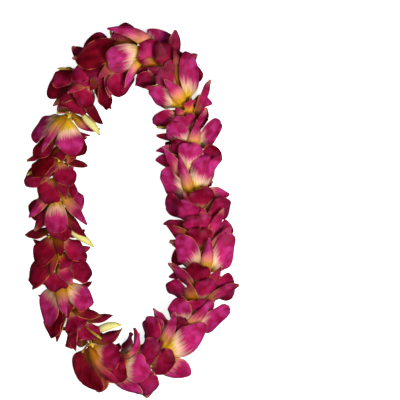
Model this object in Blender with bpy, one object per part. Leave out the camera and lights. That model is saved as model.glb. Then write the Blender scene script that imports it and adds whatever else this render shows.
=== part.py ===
"""An orchid lei: dendrobium blooms strung nose to tail on a knotted string, lying flat.

Metres, +Z up. The loop lies in the XY plane and rests on Z = 0. Every bloom faces the same way round it,
anticlockwise seen from above. A bloom is laid out in strand space, where x points to the inside of the
loop, y points up and w runs along the string the way the bloom faces. Strand space is then pressed flat,
as a lei is by its own weight, and bent round the route of the string.
"""

import math
import random
from functools import partial

import bmesh
import bpy
import numpy as np

# The route of the string, anticlockwise from the top of the loop, as control points of a closed cubic spline
ROUTE = (
    (0.010, 0.195), (-0.022, 0.185), (-0.050, 0.163), (-0.073, 0.132), (-0.088, 0.097),
    (-0.095, 0.055), (-0.095, 0.011), (-0.095, -0.033), (-0.093, -0.074), (-0.085, -0.113),
    (-0.069, -0.149), (-0.049, -0.179), (-0.025, -0.198), (0.006, -0.199), (0.037, -0.184),
    (0.063, -0.156), (0.082, -0.120), (0.090, -0.083), (0.088, -0.045), (0.081, -0.004),
    (0.074, 0.036), (0.072, 0.074), (0.069, 0.112), (0.059, 0.147), (0.038, 0.178),
)
ROUTE_SAMPLES = 1500

# The middle of the whole lei, seen from above, which becomes the origin
CENTRE = (-0.00134, -0.00373)
THREAD_HEIGHT = 0.0234

# The string holds the knot, then the blooms, with a bud after each of the blooms numbered here
BLOOM_COUNT = 46
BUD_AFTER = (5, 12, 19)
BUD_ROOM = 0.014
KNOT_ROOM = 0.008

# The turn of each bloom about the string in degrees, 0 where its top is up, from the first bloom on
TURNS = (
    -10, 50, -35, 30, 45, 25, -5, 110, 30, 90, -60, 40, -20, 150, -30, 0, 120, 50, -80, 30, 90, -45, 30,
    -30, -35, -90, 20, 85, -30, 40, 15, -70, 45, 30, -40, -25, -55, 30, 15, -80, -155, -5, 55, -30, 90, 50,
)
SEED = 11

# Blooms whose first shape touched itself take another draw
REDRAWN = {6: 1, 19: 4, 21: 4, 26: 3, 41: 1, 46: 4}

# Blooms that lie open, whose star shows from above. What points up on a bloom is shorter, squeezed by its
# neighbours: little on an open bloom, and most on the bloom behind one.
OPEN_BLOOMS = (6, 11, 16, 22, 25, 27, 31, 36, 37, 39, 42, 46)
SHORT_ABOVE = 0.36
SHORT_ABOVE_OPEN = 0.10
SHORT_ABOVE_BEHIND = 0.50

# Size of the blooms at shares of the way round, from the top of the loop
SIZES = (
    (0, 1.22), (0.06, 1.18), (0.12, 1.16), (0.18, 1.08), (0.30, 1.08),
    (0.48, 1.16), (0.60, 1.18), (0.70, 1.22), (0.80, 1.10), (0.90, 1.10),
)

# Blooms nest in each other like paper cups: every one stays this close to the same cup shape
CUP_SLOPE = 0.46
CUP_BLUNTNESS = 0.005
SLOT_HALF = 0.0068

# Leaning forward, with waves in it along the string, up and down and from side to side, each of a count round
# the loop, a height and a phase, and leaning more for each metre to the side. Then pressing above and below the
# string, and how far forward a pressed petal slides.
LEAN = 0.60
RISE = ((9, 0.20, 0.04), (4, 0.10, 1.0))
SWAY = ((4, 0.18, 1.0), (7, 0.14, 3.1))
FAN = 14
PRESS_ABOVE = 0.031
PRESS_BELOW = 0.026
SLIDE = 0.35

BLADE_THICKNESS = 0.0009

# A petal that comes this near the surface lies down flat on it
FOOT_REACH = 0.0012

# The string. Its knot is a swelling, given as places along the string and radii, and each tail's path holds
# radius from the string, place along it and thickness.
THREAD_RADIUS = 0.0006
THREAD_SIDES = 4
THREAD_STEPS = 100
KNOT = ((-0.0026, 0.0011), (-0.0012, 0.0019), (0.0012, 0.0019), (0.0026, 0.0011))
TAIL_AZIMUTHS = (60, 235)
KNOT_TAIL = ((0.0010, 0.0, 0.0006), (0.0050, 0.0016, 0.0006), (0.0110, 0.0052, 0.0006))

# The hub that all of a bloom grows from: six sides, with rings at these places along the string and radii
HUB_SIDES = 6
HUB_RINGS = ((-0.0048, 0.0030), (-0.0006, 0.0045), (0.0036, 0.0030))
HOLE_RADIUS = 0.0013
REAR, FRONT = 0, 1

# Shares of a blade's full width at shares of its length, root and tip left out
PETAL_OUTLINE = ((0.28, 0.66), (0.62, 1.0), (0.91, 0.56))
SEPAL_OUTLINE = ((0.34, 0.94), (0.72, 0.74))
LIP_OUTLINE = ((0.36, 1.0), (0.78, 0.78))

# What grows from each side of the hub, as on the living flower: an outer ring of three sepals, and an inner
# ring of two petals and the lip. Side 1 is the bloom's top. Flare is the angle away from the string at the
# root and at the tip, in degrees, and edge is how far forward both sides reach.
BLADES = (
    dict(side=1, band=REAR, length=0.037, width=0.0155, flare=(62, 76), edge=0.0006, outline=SEPAL_OUTLINE),
    dict(side=3, band=REAR, length=0.037, width=0.0170, flare=(62, 76), edge=0.0008, outline=SEPAL_OUTLINE),
    dict(side=5, band=REAR, length=0.037, width=0.0170, flare=(62, 76), edge=0.0008, outline=SEPAL_OUTLINE),
    dict(side=0, band=FRONT, length=0.038, width=0.0305, flare=(50, 74), edge=0.0022, outline=PETAL_OUTLINE),
    dict(side=2, band=FRONT, length=0.038, width=0.0305, flare=(50, 74), edge=0.0022, outline=PETAL_OUTLINE),
    dict(side=4, band=FRONT, length=0.028, width=0.0200, flare=(30, 62), edge=0.0030, outline=LIP_OUTLINE),
)

# Rods of four sides: the column over the throat, the chin behind the lip and the stalk, whole on a few blooms
# and picked short on the rest. The path holds radius from the string, place along it and thickness, away from
# the hub.
COLUMN = dict(side=1, band=FRONT, path=((0.0036, 0.0092, 0.0012),))
CHIN = dict(side=4, band=REAR, path=((0.0075, -0.0020, 0.0029), (0.0115, -0.0030, 0.0011)))
STALK = dict(side=2, band=REAR, path=((0.0120, -0.0014, 0.0013), (0.0355, 0.0130, 0.0018)))
SHORT_STALK = dict(side=2, band=REAR, path=((0.0075, -0.0018, 0.0012), (0.0130, -0.0010, 0.0016)))
WHOLE_STALKS = (2, 4, 9, 19, 41)

# A bud's ring on the string, and its horn: radius from the string, place along it, and half widths across and
# along, from the stalk to the tip
BUD_SIDES = 8
BUD_AZIMUTH = 14
BUD_RINGS = ((-0.0030, 0.0025), (0.0030, 0.0025))
BUD_HORN = (
    (0.0019, 0.0005, 0.0012, 0.0012),
    (0.0120, 0.0030, 0.0016, 0.0016),
    (0.0235, 0.0062, 0.0052, 0.0042),
    (0.0330, 0.0078, 0.0056, 0.0044),
    (0.0420, 0.0112, 0.0036, 0.0028),
    (0.0480, 0.0175, 0.0008, 0.0008),
)


def route_table():
    """Points and running length along the closed cubic spline through the route."""
    corners = np.array(ROUTE) - CENTRE
    t = np.arange(ROUTE_SAMPLES) * len(corners) / ROUTE_SAMPLES
    i = t.astype(int)
    f = (t - i)[:, None]
    before, here, after, beyond = (corners[(i + k) % len(corners)] for k in (-1, 0, 1, 2))
    points = (1 - f) ** 3 * before + (3 * f**3 - 6 * f**2 + 4) * here
    points = (points + (-3 * f**3 + 3 * f**2 + 3 * f + 1) * after + f**3 * beyond) / 6
    points = np.vstack([points, points[:1]])
    run = np.concatenate([[0], np.cumsum(np.linalg.norm(np.diff(points, axis=0), axis=1))])
    ahead = np.roll(points[:-1], -1, axis=0) - np.roll(points[:-1], 1, axis=0)
    ahead /= np.linalg.norm(ahead, axis=1)[:, None]
    return points, run, np.vstack([ahead, ahead[:1]])


POINTS, RUN, AHEAD = route_table()
LENGTH = RUN[-1]
BLOOM_ROOM = (LENGTH - KNOT_ROOM - BUD_ROOM * len(BUD_AFTER)) / BLOOM_COUNT


def stations():
    """Places along the string: of every bloom, then of every bud."""
    blooms, buds = [], []
    used = KNOT_ROOM / 2
    for number in range(1, BLOOM_COUNT + 1):
        blooms.append(used + BLOOM_ROOM / 2)
        used += BLOOM_ROOM
        if number in BUD_AFTER:
            buds.append(used + BUD_ROOM / 2)
            used += BUD_ROOM
    return blooms, buds


def drift(place, waves):
    """What waves along the string add up to at a place on it."""
    return sum(height * np.sin(2 * math.pi * count * place / LENGTH + phase) for count, height, phase in waves)


def cup(x, y):
    """Height of the shared cup shape above the bloom's centre."""
    return CUP_SLOPE * (np.sqrt(x**2 + y**2 + CUP_BLUNTNESS**2) - CUP_BLUNTNESS)


def settle(points, half):
    """Holds points to within half of the shared cup, so that no bloom reaches its neighbours."""
    x, y, w = points.T
    rest = cup(x, y)
    return np.column_stack([x, y, rest + half * np.tanh((w - rest) / half)])


def to_world(points, station):
    """Takes strand space, leant forward and pressed flat, round the route to world space."""
    x, y, w = np.transpose(points)
    room = np.where(y > 0, PRESS_ABOVE, PRESS_BELOW)
    pressed = room * np.tanh(y / room)
    place = station + w
    lean = (LEAN + FAN * abs(x) + drift(place, RISE)) * y + drift(place, SWAY) * x
    run = (place + lean + SLIDE * (abs(y) - abs(pressed))) % LENGTH
    ahead_x, ahead_y = (np.interp(run, RUN, AHEAD[:, k]) for k in (0, 1))
    along_x, along_y = (np.interp(run, RUN, POINTS[:, k]) for k in (0, 1))
    height = np.maximum(THREAD_HEIGHT + pressed, 0)
    return np.column_stack([along_x - ahead_y * x, along_y + ahead_x * x, height])


def around(radius, azimuth, sideways, w):
    """A strand-space point at a radius and azimuth, moved sideways round the string."""
    x = radius * math.cos(azimuth) - sideways * math.sin(azimuth)
    y = radius * math.sin(azimuth) + sideways * math.cos(azimuth)
    return np.array((x, y, w))


def blade_faces(grid):
    """The back and front of a blade, row by row after its root, from the grid in the middle of it."""
    grid[..., 2] = np.maximum(grid[..., 2], BLADE_THICKNESS / 2)
    along = np.concatenate([grid[2:], grid[-1:]]) - grid[:-1]
    across = grid[1:, 2:] - grid[1:, :1]
    normal = np.cross(along, across)
    normal *= BLADE_THICKNESS / 2 / np.linalg.norm(normal, axis=2)[..., None]
    back, front = grid[1:] - normal, grid[1:] + normal
    under, over = (back, front) if back[-1, 1, 2] < front[-1, 1, 2] else (front, back)
    under[under[..., 2] < FOOT_REACH, 2] = 0
    over[..., 2] = np.maximum(over[..., 2], BLADE_THICKNESS)
    return list(zip(back, front))


class Bloom:
    """The mesh of one flower, grown from its hub."""

    def __init__(self, number, station, draw):
        self.station = station
        self.roll = math.radians(TURNS[number - 1] + draw.uniform(-8, 8))
        self.size = np.interp(station / LENGTH, *zip(*SIZES), period=1)
        self.short_above = SHORT_ABOVE
        if number in OPEN_BLOOMS:
            self.short_above = SHORT_ABOVE_OPEN
        elif number % BLOOM_COUNT + 1 in OPEN_BLOOMS:
            self.short_above = SHORT_ABOVE_BEHIND
        self.tip = (draw.uniform(-0.16, 0.16), draw.uniform(-0.16, 0.16))
        self.draw = draw
        self.points = []
        self.faces = []
        self.taken = set()

    def place(self, points):
        """World places of strand-space points of this bloom."""
        points = np.array(points)
        points[:, 2] += self.tip[0] * points[:, 0] + self.tip[1] * points[:, 1]
        return to_world(settle(points, SLOT_HALF), self.station)

    def add(self, world_points):
        first = len(self.points)
        self.points.extend(world_points)
        return list(range(first, len(self.points)))

    def azimuth(self, side):
        return self.roll + (side + 0.5) * 2 * math.pi / HUB_SIDES

    def corners(self, side, band):
        """The four hub points that a piece grows from: two behind, then two in front."""
        self.taken.add((side, band))
        after = (side + 1) % HUB_SIDES
        rear, front = band * HUB_SIDES, (band + 1) * HUB_SIDES
        return rear + side, rear + after, front + side, front + after

    def add_hub(self):
        rings = HUB_RINGS + ((HUB_RINGS[-1][0], HOLE_RADIUS), (HUB_RINGS[0][0], HOLE_RADIUS))
        points = []
        for w, radius in rings:
            for corner in range(HUB_SIDES):
                points.append(around(radius, self.azimuth(corner - 0.5), 0, w))
        self.add(self.place(points))

    def close_hub(self):
        """Faces on the sides of the hub that nothing grows from."""
        bands = len(HUB_RINGS) + 2
        for band in range(bands):
            for side in range(HUB_SIDES):
                if (side, band) not in self.taken:
                    after = (side + 1) % HUB_SIDES
                    here, there = band * HUB_SIDES, (band + 1) % bands * HUB_SIDES
                    self.faces.append((here + side, here + after, there + after, there + side))

    def add_blade(self, side, band, length, width, flare, edge, outline):
        """A sepal, petal or lip: rows of three points, front and back, from the hub to a rounded tip."""
        draw = self.draw
        azimuth = self.azimuth(side) + math.radians(draw.uniform(-5, 5))
        length *= self.size * draw.uniform(0.93, 1.07)
        length *= 1 - self.short_above * max(0, math.sin(azimuth)) ** 2
        width *= self.size
        low, high = (math.radians(angle + draw.uniform(-4, 4)) for angle in flare)
        twist = draw.uniform(-0.12, 0.12)
        start = (HUB_RINGS[band][0] + HUB_RINGS[band + 1][0]) / 2
        reach = (HUB_RINGS[band][1] + HUB_RINGS[band + 1][1]) / 2
        rows = []
        for share, across in ((0, 0.1),) + outline + ((1, 0.1),):
            angle = low + (high - low) * share / 2
            radius = reach + length * share * math.sin(angle)
            w = start + length * share * math.cos(angle)
            for column in (-1, 0, 1):
                sideways = column * across * width / 2
                lifted = w + edge * across * abs(column) + twist * sideways
                rows.append(around(radius, azimuth, sideways, lifted))
        backs, fronts = [], []
        for row, (back, front) in enumerate(blade_faces(self.place(rows).reshape(-1, 3, 3))):
            picked = slice(1, 2) if row == len(outline) else slice(0, 3)
            backs.append(self.add(back[picked]))
            fronts.append(self.add(front[picked]))
        rear_left, rear_right, front_left, front_right = self.corners(side, band)
        for left, right, row in ((rear_left, rear_right, backs[0]), (front_left, front_right, fronts[0])):
            self.faces += [(left, row[0], row[1]), (left, row[1], right), (right, row[1], row[2])]
        edges = [(rear_left, front_left, rear_right, front_right)]
        for rows in (backs, fronts):
            for (a, b, c), (d, e, f) in zip(rows[:-2], rows[1:-1]):
                self.faces += [(a, b, e), (a, e, d), (b, c, e), (c, f, e)]
            (a, b, c), (tip,) = rows[-2:]
            self.faces += [(a, b, tip), (b, c, tip)]
        for back, front in zip(backs, fronts):
            edges.append((back[0], front[0], back[-1], front[-1]))
        for here, there in zip(edges[:-1], edges[1:]):
            self.faces.append((here[0], here[1], there[1], there[0]))
            self.faces.append((here[2], here[3], there[3], there[2]))

    def add_rod(self, side, band, path):
        """A four-sided rod from the hub to a flat end."""
        rear_left, rear_right, front_left, front_right = self.corners(side, band)
        ring = [rear_left, rear_right, front_right, front_left]
        start = (HUB_RINGS[1][1], (HUB_RINGS[band][0] + HUB_RINGS[band + 1][0]) / 2, 0)
        grown = [(radius * self.size, w * self.size, thickness) for radius, w, thickness in path]
        rings = rod_rings([start] + grown, self.azimuth(side), 4, self.place)
        for points in rings[1:]:
            there = self.add(points)
            for here, after in ((0, 1), (1, 2), (2, 3), (3, 0)):
                self.faces.append((ring[here], ring[after], there[after], there[here]))
            ring = there
        self.faces.append(tuple(ring))


def rod_rings(path, azimuth, sides, place):
    """World rings of a rod. Its path holds radius, place along the string, and one or two half widths."""
    centres = place([around(step[0], azimuth, 0, step[1]) for step in path])
    beside = place([around(step[0], azimuth, 0.001, step[1]) for step in path])
    rings = []
    for number, step in enumerate(path):
        along = centres[min(number + 1, len(path) - 1)] - centres[max(number - 1, 0)]
        along /= np.linalg.norm(along)
        across = beside[number] - centres[number]
        across -= along * along.dot(across)
        across /= np.linalg.norm(across)
        ahead = np.cross(along, across)
        turns = [math.pi * (2 * side / sides - 0.75) for side in range(sides)]
        wide, deep = step[2] * across, step[-1] * ahead
        ring = [centres[number] + math.cos(t) * wide + math.sin(t) * deep for t in turns]
        rings.append(np.maximum(ring, (-1, -1, 0)))
    return rings


def ring_mesh(rings, sides):
    """Points and faces of a closed ring of rings, each at a place along the string and with a radius."""
    points, faces = [], []
    for band, (w, radius) in enumerate(rings):
        for side in range(sides):
            points.append(around(radius, 2 * math.pi * side / sides, 0, w))
            here, there = band * sides, (band + 1) % len(rings) * sides
            after = (side + 1) % sides
            faces.append((here + side, here + after, there + after, there + side))
    return np.array(points), faces


def rod_faces(rings, sides):
    """Faces of a closed rod through rings of points."""
    faces = [tuple(range(sides))]
    for here in range(0, (rings - 1) * sides, sides):
        for side in range(sides):
            after = (side + 1) % sides
            faces.append((here + side, here + after, here + sides + after, here + sides + side))
    return faces + [tuple(range((rings - 1) * sides, rings * sides))]


def solid(name, points, faces, material):
    """An object with the given closed mesh, its faces pointing out."""
    mesh = bpy.data.meshes.new(name)
    mesh.from_pydata([tuple(point) for point in points], [], faces)
    mesh.materials.append(material)
    shape = bmesh.new()
    shape.from_mesh(mesh)
    bmesh.ops.recalc_face_normals(shape, faces=shape.faces)
    shape.to_mesh(mesh)
    shape.free()
    thing = bpy.data.objects.new(name, mesh)
    bpy.context.scene.collection.objects.link(thing)
    return thing


def grow_together(base, pieces):
    """Joins the pieces to the base with one Boolean union, and removes them."""
    group = bpy.data.collections.new("pieces")
    bpy.context.scene.collection.children.link(group)
    for piece in pieces:
        bpy.context.scene.collection.objects.unlink(piece)
        group.objects.link(piece)
    union = base.modifiers.new("union", "BOOLEAN")
    union.operation = "UNION"
    union.operand_type = "COLLECTION"
    union.collection = group
    joined = bpy.data.meshes.new_from_object(base.evaluated_get(bpy.context.evaluated_depsgraph_get()))
    base.modifiers.clear()
    base.data = joined
    for piece in pieces:
        bpy.data.objects.remove(piece)
    bpy.data.collections.remove(group)


def finish(name, color, roughness):
    """A plain finish."""
    material = bpy.data.materials.new(name)
    material.use_nodes = True
    shader = material.node_tree.nodes["Principled BSDF"]
    shader.inputs["Base Color"].default_value = (*color, 1)
    shader.inputs["Roughness"].default_value = roughness
    return material


def bloom(number, station, material):
    """One flower: hub, five tepals, lip, column, chin and stalk, grown as one piece."""
    flower = Bloom(number, station, random.Random(SEED * 1000 + number + 100 * REDRAWN.get(number, 0)))
    flower.add_hub()
    for blade in BLADES:
        flower.add_blade(**blade)
    for rod in (COLUMN, CHIN, STALK if number in WHOLE_STALKS else SHORT_STALK):
        flower.add_rod(**rod)
    flower.close_hub()
    return solid(f"bloom_{number:02d}", flower.points, flower.faces, material)


def bud(name, station, material):
    """An unopened bud: a ring on the string, a stalk and a horn that curves to a point."""
    hole = ((BUD_RINGS[-1][0], HOLE_RADIUS), (BUD_RINGS[0][0], HOLE_RADIUS))
    points, faces = ring_mesh(BUD_RINGS + hole, HUB_SIDES)
    base = solid(name, to_world(points, station), faces, material)
    rings = rod_rings(BUD_HORN, math.radians(BUD_AZIMUTH), BUD_SIDES, partial(to_world, station=station))
    horn = solid("horn", np.concatenate(rings), rod_faces(len(rings), BUD_SIDES), material)
    grow_together(base, [horn])


def thread(material):
    """The string, a closed loop with its knot and the knot's two short tails."""
    steps = [(LENGTH * number / THREAD_STEPS, THREAD_RADIUS) for number in range(1, THREAD_STEPS)]
    steps = [(w, radius) for w, radius in steps if 2 * KNOT[-1][0] < w < LENGTH - 2 * KNOT[-1][0]]
    steps = list(KNOT[2:]) + steps + [(LENGTH + w, radius) for w, radius in KNOT[:2]]
    points, faces = ring_mesh(steps, THREAD_SIDES)
    loop = solid("thread", to_world(points, 0), faces, material)
    tails = []
    for azimuth in TAIL_AZIMUTHS:
        rings = rod_rings(KNOT_TAIL, math.radians(azimuth), THREAD_SIDES, partial(to_world, station=0))
        tails.append(solid("tail", np.concatenate(rings), rod_faces(len(rings), THREAD_SIDES), material))
    grow_together(loop, tails)


def main():
    for thing in list(bpy.data.objects):
        bpy.data.objects.remove(thing)
    petal = finish("magenta petal", (0.30, 0.006, 0.09), 0.45)
    cream = finish("cream bud", (0.72, 0.62, 0.30), 0.5)
    cotton = finish("white cotton", (0.80, 0.78, 0.72), 0.9)
    bloom_stations, bud_stations = stations()
    for number, station in enumerate(bloom_stations, 1):
        bloom(number, station, petal)
    for number, station in enumerate(bud_stations, 1):
        bud(f"bud_{number}", station, cream)
    thread(cotton)


main()
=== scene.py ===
"""The looks of an orchid lei: every bloom, bud and the string in full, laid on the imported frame.

Metres, +Z up. Blades are modelled once as flat blanks, where x is the place across from -1 to 1, y the share
of the length and z the layer, and each copy is bent along the surface that the same blade has in the frame. A
bloom is laid out in strand space, where x points to the inside of the loop, y points up and w runs along the
string the way the bloom faces.
"""

import math
import random
from functools import partial

import bpy
import numpy as np
from mathutils.bvhtree import BVHTree
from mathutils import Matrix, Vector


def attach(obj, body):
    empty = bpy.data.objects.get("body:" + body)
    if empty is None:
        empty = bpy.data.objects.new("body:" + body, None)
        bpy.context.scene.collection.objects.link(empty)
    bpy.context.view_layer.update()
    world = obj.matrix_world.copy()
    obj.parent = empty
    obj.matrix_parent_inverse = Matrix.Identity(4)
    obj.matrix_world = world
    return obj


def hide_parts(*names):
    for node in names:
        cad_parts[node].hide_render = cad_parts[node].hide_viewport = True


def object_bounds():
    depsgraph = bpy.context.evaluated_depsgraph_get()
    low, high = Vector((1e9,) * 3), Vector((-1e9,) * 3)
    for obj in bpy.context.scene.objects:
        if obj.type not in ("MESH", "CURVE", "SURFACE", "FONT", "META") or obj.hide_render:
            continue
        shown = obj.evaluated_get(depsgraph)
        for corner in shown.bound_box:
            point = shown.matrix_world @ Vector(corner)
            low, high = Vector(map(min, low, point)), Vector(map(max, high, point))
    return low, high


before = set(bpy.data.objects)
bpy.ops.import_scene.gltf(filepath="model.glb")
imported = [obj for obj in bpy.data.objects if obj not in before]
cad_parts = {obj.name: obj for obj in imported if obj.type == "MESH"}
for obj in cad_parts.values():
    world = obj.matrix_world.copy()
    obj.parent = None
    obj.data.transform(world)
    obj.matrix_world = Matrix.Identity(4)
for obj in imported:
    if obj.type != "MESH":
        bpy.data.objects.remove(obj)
cad_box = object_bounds()
bpy.ops.object.select_all(action="DESELECT")

# The numbers from here to the buds' horn are the frame's own, so that each piece lies where its solid does

# The route of the string, anticlockwise from the top of the loop, as control points of a closed cubic spline
ROUTE = (
    (0.010, 0.195), (-0.022, 0.185), (-0.050, 0.163), (-0.073, 0.132), (-0.088, 0.097),
    (-0.095, 0.055), (-0.095, 0.011), (-0.095, -0.033), (-0.093, -0.074), (-0.085, -0.113),
    (-0.069, -0.149), (-0.049, -0.179), (-0.025, -0.198), (0.006, -0.199), (0.037, -0.184),
    (0.063, -0.156), (0.082, -0.120), (0.090, -0.083), (0.088, -0.045), (0.081, -0.004),
    (0.074, 0.036), (0.072, 0.074), (0.069, 0.112), (0.059, 0.147), (0.038, 0.178),
)
ROUTE_SAMPLES = 1500

# The middle of the whole lei, seen from above, which is the origin
CENTRE = (-0.00134, -0.00373)
THREAD_HEIGHT = 0.0234
THREAD_RADIUS = 0.0006

# The string holds the knot, then the blooms, with a bud after each of the blooms numbered here
BLOOM_COUNT = 46
BUD_AFTER = (5, 12, 19)
BUD_ROOM = 0.014
KNOT_ROOM = 0.008

# The turn of each bloom about the string in degrees, 0 where its top is up, from the first bloom on
TURNS = (
    -10, 50, -35, 30, 45, 25, -5, 110, 30, 90, -60, 40, -20, 150, -30, 0, 120, 50, -80, 30, 90, -45, 30,
    -30, -35, -90, 20, 85, -30, 40, 15, -70, 45, 30, -40, -25, -55, 30, 15, -80, -155, -5, 55, -30, 90, 50,
)
SEED = 11

# Blooms that take another draw than their first
REDRAWN = {6: 1, 19: 4, 21: 4, 26: 3, 41: 1, 46: 4}

# Blooms that lie open, whose star shows from above. What points up on a bloom is shorter, squeezed by its
# neighbours: little on an open bloom, and most on the bloom behind one.
OPEN_BLOOMS = (6, 11, 16, 22, 25, 27, 31, 36, 37, 39, 42, 46)
SHORT_ABOVE = 0.36
SHORT_ABOVE_OPEN = 0.10
SHORT_ABOVE_BEHIND = 0.50

# Size of the blooms at shares of the way round, from the top of the loop
SIZES = (
    (0, 1.22), (0.06, 1.18), (0.12, 1.16), (0.18, 1.08), (0.30, 1.08),
    (0.48, 1.16), (0.60, 1.18), (0.70, 1.22), (0.80, 1.10), (0.90, 1.10),
)

# Blooms nest in each other like paper cups: every one stays this close to the same cup shape
CUP_SLOPE = 0.46
CUP_BLUNTNESS = 0.005
SLOT_HALF = 0.0068

# Leaning forward, with waves in it along the string, up and down and from side to side, each of a count round
# the loop, a height and a phase, and leaning more for each metre to the side. Then pressing above and below
# the string, and how far forward a pressed petal slides.
LEAN = 0.60
RISE = ((9, 0.20, 0.04), (4, 0.10, 1.0))
SWAY = ((4, 0.18, 1.0), (7, 0.14, 3.1))
FAN = 14
PRESS_ABOVE = 0.031
PRESS_BELOW = 0.026
SLIDE = 0.35

# The hub that all of a bloom grows from: six sides, with rings at these places along the string and radii
HUB_SIDES = 6
HUB_RINGS = ((-0.0048, 0.0030), (-0.0006, 0.0045), (0.0036, 0.0030))
REAR, FRONT = 0, 1

# What grows from each side of the hub, as on the living flower: an outer ring of three sepals, and an inner
# ring of two petals and the lip. Side 1 is the bloom's top. Flare is the angle away from the string at the
# root and at the tip, in degrees, and edge is how far forward both sides reach.
BLADES = (
    dict(kind="sepal", side=1, band=REAR, length=0.037, width=0.0155, flare=(62, 76), edge=0.0006),
    dict(kind="sepal", side=3, band=REAR, length=0.037, width=0.0170, flare=(62, 76), edge=0.0008),
    dict(kind="sepal", side=5, band=REAR, length=0.037, width=0.0170, flare=(62, 76), edge=0.0008),
    dict(kind="petal", side=0, band=FRONT, length=0.038, width=0.0305, flare=(50, 74), edge=0.0022),
    dict(kind="petal", side=2, band=FRONT, length=0.038, width=0.0305, flare=(50, 74), edge=0.0022),
    dict(kind="lip", side=4, band=FRONT, length=0.028, width=0.0200, flare=(30, 62), edge=0.0030),
)

# How much one flower differs from the next: its turn, and a blade's azimuth and flare, in degrees, then the
# share of its plain length that a blade has, how much the whole flower tips, and how much a blade twists
TURN_DRAW = 8
AZIMUTH_DRAW = 5
FLARE_DRAW = 4
LENGTH_SHARES = (0.93, 1.07)
TIP_DRAW = 0.16
TWIST_DRAW = 0.12

# The column over the throat, the chin behind the lip and the stalk, whole on a few blooms and picked short on
# the rest. The path holds radius from the string, place along it and thickness, away from the hub. Each rod
# starts inside the hub, at this share of its radius and this thick.
ROD_ROOT = 0.8
ROD_ROOT_THICKNESS = 0.0012
COLUMN = dict(side=1, band=FRONT, path=((0.0036, 0.0092, 0.0012),))
CHIN = dict(side=4, band=REAR, path=((0.0075, -0.0020, 0.0029), (0.0115, -0.0030, 0.0011)))
STALK = dict(side=2, band=REAR, path=((0.0120, -0.0014, 0.0013), (0.0355, 0.0130, 0.0018)))
SHORT_STALK = dict(side=2, band=REAR, path=((0.0075, -0.0018, 0.0012), (0.0130, -0.0010, 0.0016)))
WHOLE_STALKS = (2, 4, 9, 19, 41)

# A bud's ring on the string, and its horn: radius from the string, place along it, and half widths across and
# along, from the stalk to the tip
BUD_AZIMUTH = 14
BUD_RING_RADIUS = 0.0025
BUD_RING_DEPTH = 0.0028
BUD_HORN = (
    (0.0019, 0.0005, 0.0012, 0.0012),
    (0.0120, 0.0030, 0.0016, 0.0016),
    (0.0235, 0.0062, 0.0052, 0.0042),
    (0.0330, 0.0078, 0.0056, 0.0044),
    (0.0420, 0.0112, 0.0036, 0.0028),
    (0.0480, 0.0175, 0.0008, 0.0008),
)

# Fresh petal tissue is about half a millimetre thick and thins out to its margin
PETAL_THICKNESS = 0.0006
MARGIN_THICKNESS = 0.00035

# How far each kind of blade strays from the plain one, in metres at its end or margin, from least to most,
# and how wide it is beside the plain one
HABITS = {
    "petal": dict(
        ruffle=(0.0014, 0.0034), curl=(-0.0030, 0.0060), bend=(-0.0040, 0.0040), fold=(-0.0040, 0.0060),
        pleat=(-0.0004, 0.0004), slim=(0.88, 1.04),
    ),
    "sepal": dict(
        ruffle=(0.0004, 0.0012), curl=(-0.0060, 0.0050), bend=(-0.0060, 0.0060), fold=(-0.0020, 0.0050),
        pleat=(-0.0003, 0.0003), slim=(0.85, 1.05),
    ),
    "lip": dict(
        ruffle=(0.0008, 0.0020), curl=(-0.0040, 0.0040), bend=(-0.0010, 0.0010), fold=(0.0, 0.0040),
        pleat=(-0.0003, 0.0003), slim=(1.0, 1.25),
    ),
}

# The waves of a margin: how many along its length, where they start, and how far one side leads the other
WAVES, PHASE, LAG = (1.4, 3.0), (0, 6.28), (-1.6, 1.6)

# The fold along a blade's middle is round, not sharp, over this share of its half width
FOLD_ROUNDNESS = 0.2

# Radians of pleats over half a blade's width: three pleats lie side by side on the whole
PLEATS = 9

# How closely a blank's rows crowd towards its tip
TIP_CROWDING = 1.6

# A step over a surface to find where it faces, as a share of its width or length
STEP = 0.01

# The last share of a rod, which rounds off to its end
ROUND_END = 0.12

# Torn shreds of the throat on each bloom: how far to either side each strays, in radians, how long it is, and
# how far forward its middle and its tip stand as shares of its length. It starts at the root with its half
# widths, and its length is measured from the throat.
SHREDS = 6
SHRED_STRAY = 0.3
SHRED_LENGTHS = (0.004, 0.008)
SHRED_LIFTS = (0.2, 0.6)
SHRED_TIPS = (0.1, 0.6)
SHRED_ROOT = (0.0030, 0.0010, 0.0010, 0.0006)
THROAT = (0.0035, 0.0015)

# How many draws a bloom's bends may take to keep clear of the others, and the share of them that goes by then
DRAWS = 12
CALMING = 0.85

# Blades that reach the frame's top flatten out over this depth
CEILING_ROOM = 0.006

# Half the thickness of the ring blank's wall, where its outer radius is one, and the share of the hub's depth
# that the ring in a bloom's middle has
RING_WALL = 0.35
RING_SHARE = 0.9


def route_table():
    """Points and running length along the closed cubic spline through the route."""
    corners = np.array(ROUTE) - CENTRE
    t = np.arange(ROUTE_SAMPLES) * len(corners) / ROUTE_SAMPLES
    i = t.astype(int)
    f = (t - i)[:, None]
    before, here, after, beyond = (corners[(i + k) % len(corners)] for k in (-1, 0, 1, 2))
    points = (1 - f) ** 3 * before + (3 * f**3 - 6 * f**2 + 4) * here
    points = (points + (-3 * f**3 + 3 * f**2 + 3 * f + 1) * after + f**3 * beyond) / 6
    points = np.vstack([points, points[:1]])
    run = np.concatenate([[0], np.cumsum(np.linalg.norm(np.diff(points, axis=0), axis=1))])
    ahead = np.roll(points[:-1], -1, axis=0) - np.roll(points[:-1], 1, axis=0)
    ahead /= np.linalg.norm(ahead, axis=1)[:, None]
    return points, run, np.vstack([ahead, ahead[:1]])


POINTS, RUN, AHEAD = route_table()
LENGTH = RUN[-1]
BLOOM_ROOM = (LENGTH - KNOT_ROOM - BUD_ROOM * len(BUD_AFTER)) / BLOOM_COUNT


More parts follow.
